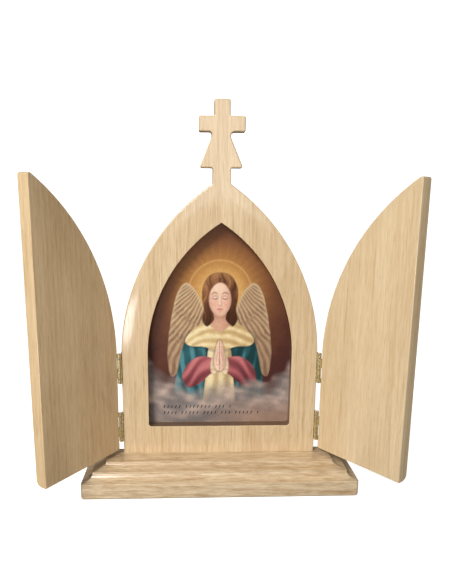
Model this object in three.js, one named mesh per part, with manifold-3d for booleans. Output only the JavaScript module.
// A small triptych altarpiece in pale wood: a lancet centre board cut in one with its cross,
// standing on a moulded plinth, a picture plate fixed behind the board's window, and two
// half-lancet wings that close over the picture on four small brass butt hinges.
// Units are millimetres. +Z is up, the picture faces -Y, and the origin is on the plinth's
// underside, below the middle of the centre board. Left and right are as seen by someone
// looking at the picture.
import * as THREE from 'three';
import * as BufferGeometryUtils from 'three/addons/utils/BufferGeometryUtils.js';
import Module from 'manifold-3d';

const wasm = await Module();
wasm.setup();

// ---- driving dimensions -------------------------------------------------------------------

const BOARD = 10.3; // thickness of the centre board and of both wings
const BOARD_EASE = 1; // rounding of the boards' edges
const PANEL_HALF = 80; // half width of the centre board
const PANEL_SPRING = 81.8; // height on the board where its straight sides turn into arcs
const PANEL_ARC = 167.3; // radius of the lancet arcs

const WINDOW_HALF = 58.7;
const WINDOW_SILL = 23.2;
const WINDOW_SPRING = 83.3;
const WINDOW_ARC = 127.6;
const WINDOW_CORNER = 2.5; // radius of the window's two lower corners

const NECK_HALF = 7; // the neck that carries the cross
const FLARE_BOTTOM = 231.8;
// The cross's foot is flared like a skirt. It is sawn a little unevenly, so each side has its
// own half width at the bottom, its own waist, and its own fillet under the arm.
const FLARE = {
  left: { half: 17, waist: 8, fillet: 1.8 },
  right: { half: 16.2, waist: 6.5, fillet: 3.4 },
};
const WAIST_HEIGHT = 254.2;
const ARM_HALF = 17.6;
const ARM_BOTTOM = 258.2;
const ARM_TOP = 269.4;
const HEAD_HALF = 6.1;
const CROSS_TOP = 281.3;
const CROSS_EASE = 1.15; // rounding of the cross's outer corners
const CROSS_FILLET = 1.1; // rounding of its inner corners

const BASE_HALF_LENGTH = 110.2;
const BASE_FRONT = 40; // from the middle of the centre board to the front of the plinth
const BASE_BACK = BOARD / 2; // the plain back is flush with the back of the centre board
const BASE_HEIGHT = 23.8;
const BASE_FACE = 13.4; // height of the plain face under the moulding
const BASE_EASE = 2.4; // rounding of the bottom edges and of the upright corners
const MOULDING_WIDTH = 17.7;
const STEP_IN = 8.2; // the step between the two coves, inward of the face
const STEP_DROP = 4.2; // and below the top
const COVE_LIP = 1; // the little upright fillet above each cove

const PLATE_MARGIN = 8; // the picture plate laps the back of the board by this much
const PLATE_THICKNESS = 3;
const PLATE_EASE = 0.5;

const WING_CENTRE_GAP = 0.5; // each closed wing stops this far from the middle
const WING_SPRING = 83.1; // the wings' arcs spring a little higher than the board's
const WING_LIFT = 3.7; // the wings hang clear of the plinth
const WING_TIP = 1.6; // rounding of the pointed tip
const WING_FOOT_ROUND = [6, 6.5]; // rounding of the outer face at the foot: depth, height
const LEFT_OPEN = 124; // opening angles, 0 when closed over the picture
const RIGHT_OPEN = 126;

const HINGE_LENGTH = 25.4;
const HINGE_HEIGHTS = { lower: 23.4, upper: 73.5 }; // hinge middles, above the plinth
const PIVOT_OUT = 1.5; // pin axis outside the centre board's edge
const PIVOT_FRONT = 0.8; // pin axis in front of the centre board's face
const KNUCKLE_RADIUS = 1.75;
const KNUCKLE_LENGTHS = [4.2, 8.4, 8.4, 4.4]; // from the top; they alternate between the leaves
const KNUCKLE_GAP = 0.3;
const BORE_RADIUS = 1.1;
const PIN_RADIUS = 0.8;
const PIN_DOME = 0.5;
const LEAF_THICKNESS = 0.8;
const LEAF_WIDTH = 9.6; // from the pin axis
const LEAF_CORNER = 1.2;
const SEAT_GAP = 0.3; // play between a leaf and its shallow seat in the wood
const SCREW_ROW = 5.6; // screws' distance from the pin axis
const SCREW_SPREAD = 8; // and above and below the hinge's middle
const SCREW_HEAD = 1.6;
const SCREW_HEAD_DEPTH = 0.7;
const SCREW_SHANK = 0.7;
const SCREW_LENGTH = 8;
const SCREW_PLAY = 0.25;
const SLOT_WIDTH = 0.45;
const SLOT_DEPTH = 0.3;

const WOOD = { color: 0xdcc294, roughness: 0.4, metalness: 0 };
const PRINT = { color: 0x7a4a3a, roughness: 0.15, metalness: 0 };
const BRASS = { color: 0xcda950, roughness: 0.3, metalness: 0.9 };

// ---- solids and booleans ------------------------------------------------------------------

const toSolid = (geometry) => {
  const bare = geometry.index ? geometry.toNonIndexed() : geometry.clone();
  bare.deleteAttribute('normal');
  bare.deleteAttribute('uv');
  const merged = BufferGeometryUtils.mergeVertices(bare, 1e-4);
  return new wasm.Manifold(new wasm.Mesh({
    numProp: 3,
    vertProperties: new Float32Array(merged.attributes.position.array),
    triVerts: new Uint32Array(merged.index.array),
  }));
};

const toGeometry = (solid) => {
  const mesh = solid.getMesh();
  const geometry = new THREE.BufferGeometry();
  geometry.setAttribute('position', new THREE.BufferAttribute(mesh.vertProperties, 3));
  geometry.setIndex(new THREE.BufferAttribute(mesh.triVerts, 1));
  geometry.computeVertexNormals();
  return geometry;
};

// Sinks every tool out of the body, one after another.
const cutAll = (body, tools) => tools.reduce((left, tool) => left.subtract(tool), body);

const makeMesh = (name, solid, finish) => {
  const mesh = new THREE.Mesh(toGeometry(solid), new THREE.MeshStandardMaterial(finish));
  mesh.name = name;
  return mesh;
};

// ---- outlines -----------------------------------------------------------------------------

const point = (x, y) => new THREE.Vector2(x, y);

// Points along a circle's arc, angles in radians.
const arcPoints = (centre, radius, from, to, steps) =>
  Array.from({ length: steps + 1 }, (_, i) => {
    const angle = from + ((to - from) * i) / steps;
    return point(centre.x + radius * Math.cos(angle), centre.y + radius * Math.sin(angle));
  });

// Replaces the corner between two straight edges by an arc that touches both.
const roundCorner = (before, corner, after, radius, steps) => {
  const toBefore = before.clone().sub(corner).normalize();
  const toAfter = after.clone().sub(corner).normalize();
  const half = Math.acos(toBefore.dot(toAfter)) / 2;
  const centre = toBefore.clone().add(toAfter).normalize()
    .multiplyScalar(radius / Math.sin(half)).add(corner);
  const reach = radius / Math.tan(half);
  const start = toBefore.multiplyScalar(reach).add(corner).sub(centre);
  const end = toAfter.multiplyScalar(reach).add(corner).sub(centre);
  const turn = Math.atan2(start.cross(end), start.dot(end));
  return arcPoints(centre, radius, start.angle(), start.angle() + turn, steps);
};

// A run of straight edges; each inner corner is [x, y, radius], and radius 0 keeps it sharp.
const roundedRun = (corners, steps) => corners.flatMap(([x, y, radius], i) => {
  if (!radius) return [point(x, y)];
  const before = point(...corners[i - 1]);
  const after = point(...corners[i + 1]);
  return roundCorner(before, point(x, y), after, radius, steps);
});

const mirrored = (points) => points.map((p) => point(-p.x, p.y)).reverse();

// The right-hand arc of a lancet, from its springing up to where it is `stop` from the middle.
const lancetArc = (half, springing, radius, stop, steps) => {
  const centre = point(half - radius, springing);
  return arcPoints(centre, radius, 0, Math.acos((stop - centre.x) / radius), steps);
};

const lancetOutline = (half, bottom, springing, radius, corner) => {
  const foot = roundCorner(point(0, bottom), point(half, bottom), point(half, springing), corner, 4);
  const right = [...foot, ...lancetArc(half, springing, radius, 0, 14)];
  return [...right, ...mirrored(right).slice(1)];
};

// One side of the centre board, from its foot up to the middle of the cross's top.
const panelSide = ({ half, waist, fillet }) => {
  const arc = lancetArc(PANEL_HALF, PANEL_SPRING, PANEL_ARC, NECK_HALF, 16);
  const cross = roundedRun([
    [NECK_HALF, FLARE_BOTTOM - 6, 0],
    [NECK_HALF, FLARE_BOTTOM, CROSS_FILLET],
    [half, FLARE_BOTTOM, CROSS_EASE],
    [waist, WAIST_HEIGHT, 0],
    [waist, ARM_BOTTOM, fillet],
    [ARM_HALF, ARM_BOTTOM, CROSS_EASE],
    [ARM_HALF, ARM_TOP, CROSS_EASE],
    [HEAD_HALF, ARM_TOP, CROSS_FILLET],
    [HEAD_HALF, CROSS_TOP, CROSS_EASE],
    [0, CROSS_TOP, 0],
  ], 3).slice(1, -1);
  return [point(PANEL_HALF, -BOARD_EASE), ...arc, ...cross];
};

const panelOutline = () => [...panelSide(FLARE.right), ...mirrored(panelSide(FLARE.left))];

// One closed wing, seen from the front: the straight free edge is near the middle, and the
// outline is that of the centre board beside it. `side` is 1 on the right, -1 on the left.
const wingOutline = (side) => {
  const arc = lancetArc(PANEL_HALF, WING_SPRING, PANEL_ARC, WING_CENTRE_GAP, 16);
  const tip = arc.at(-1);
  const rounded = roundCorner(arc.at(-2), tip, point(tip.x, WING_LIFT), WING_TIP, 3);
  const foot = [point(WING_CENTRE_GAP, WING_LIFT), point(PANEL_HALF, WING_LIFT)];
  const outline = [...foot, ...arc.slice(0, -1), ...rounded];
  return side > 0 ? outline : mirrored(outline);
};

// ---- boards -------------------------------------------------------------------------------

// A board cut to an outline drawn in X and Z, with eased edges, from y = front to y = back.
const makeBoard = (outline, front, back, ease, holes = []) => {
  const shape = new THREE.Shape(outline);
  shape.holes = holes.map((hole) => new THREE.Path(hole));
  const geometry = new THREE.ExtrudeGeometry(shape, {
    depth: back - front - 2 * ease,
    steps: 1,
    bevelEnabled: true,
    bevelThickness: ease,
    bevelSize: ease,
    bevelOffset: -ease,
    bevelSegments: 2,
  });
  geometry.rotateX(Math.PI / 2);
  geometry.translate(0, back - ease, 0);
  return toSolid(geometry);
};

// A prism whose section is drawn in the plane across `axis`; x or y of the section lies level.
const makePrism = (outline, length, axis) => {
  const shape = new THREE.Shape(outline);
  const geometry = new THREE.ExtrudeGeometry(shape, { depth: length, steps: 1, bevelEnabled: false });
  geometry.translate(0, 0, -length / 2);
  if (axis !== 'z') geometry.rotateX(Math.PI / 2);
  if (axis === 'x') geometry.rotateZ(Math.PI / 2);
  return toSolid(geometry);
};

// ---- plinth -------------------------------------------------------------------------------

// A concave quarter of an ellipse that leaves its lip upright and runs out level.
const cove = (lip, toe, steps) => Array.from({ length: steps + 1 }, (_, i) => {
  const angle = (Math.PI / 2) * (i / steps);
  const x = toe.x - (toe.x - lip.x) * Math.cos(angle);
  return point(x, lip.y - (lip.y - toe.y) * Math.sin(angle));
});

// The moulded edge from the top down: two coves with a step between them, then a plain face.
const mouldedEdge = (reach) => {
  const inner = reach - MOULDING_WIDTH;
  const step = reach - STEP_IN;
  const stepHeight = BASE_HEIGHT - STEP_DROP;
  const upper = cove(point(inner, BASE_HEIGHT - COVE_LIP), point(step, stepHeight), 6);
  const lower = cove(point(step, stepHeight - COVE_LIP), point(reach - 0.5, BASE_FACE), 6);
  const foot = roundCorner(point(reach, BASE_FACE), point(reach, 0), point(0, 0), BASE_EASE, 4);
  return [point(inner, BASE_HEIGHT), ...upper, ...lower, point(reach, BASE_FACE - 0.5), ...foot];
};

// The plain edge from the top down, rounded at the top and at the bottom.
const plainEdge = (reach) => [
  ...roundCorner(point(0, BASE_HEIGHT), point(reach, BASE_HEIGHT), point(reach, 0), BASE_EASE, 4),
  ...roundCorner(point(reach, BASE_HEIGHT), point(reach, 0), point(0, 0), BASE_EASE, 4),
];

// Front to back the plinth is moulded in front and plain behind; both its ends are moulded.
const makePlinth = () => {
  const deep = [...mirrored(mouldedEdge(BASE_FRONT)), ...plainEdge(BASE_BACK)].reverse();
  const ends = mouldedEdge(BASE_HALF_LENGTH);
  const long = [...mirrored(ends), ...ends].reverse();
  const side = point(BASE_HALF_LENGTH, 0);
  const behind = roundCorner(point(0, BASE_BACK), point(side.x, BASE_BACK), side, BASE_EASE, 4);
  const before = roundCorner(side, point(side.x, -BASE_FRONT), point(0, -BASE_FRONT), BASE_EASE, 4);
  const right = [...behind, ...before];
  const plan = [...mirrored(right), ...right].reverse();
  const along = makePrism(deep, 2 * BASE_HALF_LENGTH + 2, 'x');
  const across = makePrism(long, 2 * BASE_FRONT + 2, 'y');
  return along.intersect(across).intersect(makePrism(plan, 3 * BASE_HEIGHT, 'z'));
};

// ---- hinges -------------------------------------------------------------------------------
// A hinge is drawn for the right-hand side with its pin axis on Z and its middle at z = 0: the
// wood is on the -X side, and the leaf screwed to the centre board reaches back along +Y. The
// wing's leaf is the same leaf turned end over end, so its knuckles fill the other's gaps.

const AROUND_KNUCKLE = 18;
const AROUND_BORE = 10;
const AROUND_SCREW = 10;

const uprightCylinder = (radius, bottom, top, around) => {
  const geometry = new THREE.CylinderGeometry(radius, radius, top - bottom, around);
  geometry.rotateX(Math.PI / 2);
  geometry.translate(0, 0, (top + bottom) / 2);
  return toSolid(geometry);
};

const box = (from, to) => {
  const size = to.map((v, i) => v - from[i]);
  const geometry = new THREE.BoxGeometry(...size);
  geometry.translate(...from.map((v, i) => v + size[i] / 2));
  return toSolid(geometry);
};

// Where each knuckle starts and stops, from the top down.
const knuckleSpans = () => {
  let top = HINGE_LENGTH / 2;
  return KNUCKLE_LENGTHS.map((length) => {
    const span = { top: top - KNUCKLE_GAP / 2, bottom: top - length + KNUCKLE_GAP / 2 };
    top -= length;
    return span;
  });
};

// A countersunk screw or its hole, on the X axis with its head's face at x = 0.
const screwBody = (headRadius, headDepth, shankRadius, length) => {
  const profile = [
    point(0, 0),
    point(headRadius, 0),
    point(shankRadius, -headDepth),
    point(shankRadius, -length + shankRadius),
    point(0, -length),
  ];
  const geometry = new THREE.LatheGeometry(profile.reverse(), AROUND_SCREW);
  geometry.rotateZ(-Math.PI / 2);
  return toSolid(geometry);
};

const SCREW_SEATS = [SCREW_SPREAD, -SCREW_SPREAD].map((z) => [
  LEAF_THICKNESS - KNUCKLE_RADIUS,
  SCREW_ROW,
  z,
]);

const screw = screwBody(SCREW_HEAD, SCREW_HEAD_DEPTH, SCREW_SHANK, SCREW_LENGTH)
  .subtract(box([-SLOT_DEPTH, -SCREW_HEAD - 1, -SLOT_WIDTH / 2], [1, SCREW_HEAD + 1, SLOT_WIDTH / 2]));

const screwHole = screwBody(
  SCREW_HEAD + SCREW_PLAY,
  SCREW_HEAD_DEPTH,
  SCREW_SHANK + SCREW_PLAY,
  SCREW_LENGTH + SCREW_PLAY,
);

const makeLeaf = () => {
  const half = HINGE_LENGTH / 2;
  const outline = [
    point(0, -half),
    ...roundCorner(point(0, -half), point(LEAF_WIDTH, -half), point(LEAF_WIDTH, half), LEAF_CORNER, 3),
    ...roundCorner(point(LEAF_WIDTH, -half), point(LEAF_WIDTH, half), point(0, half), LEAF_CORNER, 3),
    point(0, half),
  ];
  const plate = makePrism(outline, LEAF_THICKNESS, 'y').rotate([0, 0, 90])
    .translate([LEAF_THICKNESS / 2 - KNUCKLE_RADIUS, 0, 0]);
  const spans = knuckleSpans();
  const own = spans.filter((_, i) => i % 2 === 0)
    .map(({ bottom, top }) => uprightCylinder(KNUCKLE_RADIUS, bottom, top, AROUND_KNUCKLE));
  const clearings = spans.filter((_, i) => i % 2 === 1).map(({ bottom, top }) =>
    uprightCylinder(KNUCKLE_RADIUS + KNUCKLE_GAP, bottom - KNUCKLE_GAP, top + KNUCKLE_GAP, AROUND_KNUCKLE));
  const trims = spans.slice(0, -1).map(({ bottom }) =>
    box([-3, -3, bottom - KNUCKLE_GAP], [3, KNUCKLE_RADIUS, bottom]));
  const bore = uprightCylinder(BORE_RADIUS, -half - 1, half + 1, AROUND_BORE);
  const holes = SCREW_SEATS.map((seat) => screwHole.translate(seat));
  const whole = own.reduce((sum, knuckle) => sum.add(knuckle), plate);
  return cutAll(whole, [...clearings, ...trims, bore, ...holes]);
};

const makePin = () => {
  const half = HINGE_LENGTH / 2;
  const profile = [
    point(0, -half - PIN_DOME),
    point(PIN_RADIUS, -half),
    point(PIN_RADIUS, half),
    point(0, half + PIN_DOME),
  ];
  const geometry = new THREE.LatheGeometry(profile, AROUND_BORE);
  geometry.rotateX(Math.PI / 2);
  return toSolid(geometry);
};

// What a leaf takes out of the edge of its board: a shallow seat and two screw holes.
const makeSeat = () => {
  const half = HINGE_LENGTH / 2 + SEAT_GAP;
  const floor = -KNUCKLE_RADIUS - SEAT_GAP;
  const seat = box([floor, -PIVOT_OUT, -half], [1, LEAF_WIDTH + SEAT_GAP, half]);
  return SCREW_SEATS.reduce((sum, place) => sum.add(screwHole.translate(place)), seat);
};

const leaf = makeLeaf();
const pin = makePin();
const seat = makeSeat();

// ---- putting it together ------------------------------------------------------------------

const altarpiece = new THREE.Group();
altarpiece.name = 'triptych_altarpiece';

const panelFront = -BOARD / 2;
const pivotX = PANEL_HALF + PIVOT_OUT;
const pivotY = panelFront - PIVOT_FRONT;

// Turns a solid drawn for a right-hand hinge to its own side, and over for the wing's leaf.
const turned = (solid, side, onWing) =>
  solid.rotate([onWing ? 180 : 0, side > 0 ? 0 : 180, 0]);

// Adds a hinge's leaf and screws to the group that carries them, at the pin axis.
const addLeaf = (group, hinge, side, onWing, axis) => {
  const board = onWing ? 'wing' : 'panel';
  const pieces = [
    [`${hinge}_${board}_leaf`, leaf],
    ...SCREW_SEATS.map((place, i) => [`${hinge}_${board}_screw_${i + 1}`, screw.translate(place)]),
  ];
  pieces.forEach(([name, solid]) => {
    const mesh = makeMesh(name, turned(solid, side, onWing), BRASS);
    mesh.position.set(...axis);
    group.add(mesh);
  });
};

const sides = [
  { name: 'left', side: -1, open: LEFT_OPEN },
  { name: 'right', side: 1, open: RIGHT_OPEN },
];
const hingeList = Object.entries(HINGE_HEIGHTS);

altarpiece.add(makeMesh('base', makePlinth(), WOOD));

const windowOutline = lancetOutline(
  WINDOW_HALF, WINDOW_SILL, WINDOW_SPRING, WINDOW_ARC, WINDOW_CORNER,
);
const panelSeats = sides.flatMap(({ side }) => hingeList.map(([, height]) =>
  turned(seat, side, false).translate([side * pivotX, pivotY, height])));
// The board's foot is sawn square, so it meets the plinth without an eased edge.
const footSaw = box([-PANEL_HALF - 1, -BOARD, -2 * BOARD_EASE], [PANEL_HALF + 1, BOARD, 0]);
const panel = cutAll(
  makeBoard(panelOutline(), panelFront, -panelFront, BOARD_EASE, [windowOutline]),
  [footSaw, ...panelSeats],
);
const panelMesh = makeMesh('centre_panel', panel, WOOD);
panelMesh.position.z = BASE_HEIGHT;
altarpiece.add(panelMesh);

const plateOutline = lancetOutline(
  WINDOW_HALF + PLATE_MARGIN,
  WINDOW_SILL - PLATE_MARGIN,
  WINDOW_SPRING,
  WINDOW_ARC + PLATE_MARGIN,
  WINDOW_CORNER + PLATE_MARGIN,
);
const plate = makeBoard(plateOutline, -panelFront, -panelFront + PLATE_THICKNESS, PLATE_EASE);
const plateMesh = makeMesh('picture', plate, PRINT);
plateMesh.position.z = BASE_HEIGHT;
altarpiece.add(plateMesh);

// The wing's foot is rounded on its outer face, a quarter of an ellipse drawn in Y and Z.
const footTool = (outerFace) => {
  const [deep, tall] = WING_FOOT_ROUND;
  const curve = Array.from({ length: 7 }, (_, i) => {
    const angle = (Math.PI / 2) * (i / 6);
    return point(
      outerFace + deep * (1 - Math.cos(angle)),
      WING_LIFT + tall * (1 - Math.sin(angle)),
    );
  });
  const outside = [
    point(outerFace + deep, WING_LIFT - 2),
    point(outerFace - 2, WING_LIFT - 2),
    point(outerFace - 2, WING_LIFT + tall),
  ];
  const shape = [...curve, ...outside];
  return makePrism(shape, 4 * PANEL_HALF, 'x');
};

sides.forEach(({ name, side, open }) => {
  const wingGroup = new THREE.Group();
  wingGroup.position.set(side * pivotX, pivotY, BASE_HEIGHT);
  wingGroup.rotation.z = THREE.MathUtils.degToRad(side * open);

  // Closed, the wing's inner face is as far in front of the pin axis as the board is behind it.
  const innerFace = -PIVOT_FRONT;
  const outerFace = innerFace - BOARD;
  const blank = makeBoard(wingOutline(side), outerFace, innerFace, BOARD_EASE)
    .translate([-side * pivotX, 0, 0]);
  const seats = hingeList.map(([, height]) => turned(seat, side, true).translate([0, 0, height]));
  wingGroup.add(makeMesh(`${name}_wing`, cutAll(blank, [footTool(outerFace), ...seats]), WOOD));

  hingeList.forEach(([level, height]) => {
    const hinge = `${name}_${level}_hinge`;
    const pinMesh = makeMesh(`${hinge}_pin`, pin, BRASS);
    pinMesh.position.set(side * pivotX, pivotY, BASE_HEIGHT + height);
    altarpiece.add(pinMesh);
    addLeaf(altarpiece, hinge, side, false, [side * pivotX, pivotY, BASE_HEIGHT + height]);
    addLeaf(wingGroup, hinge, side, true, [0, 0, height]);
  });
  altarpiece.add(wingGroup);
});

export default altarpiece;
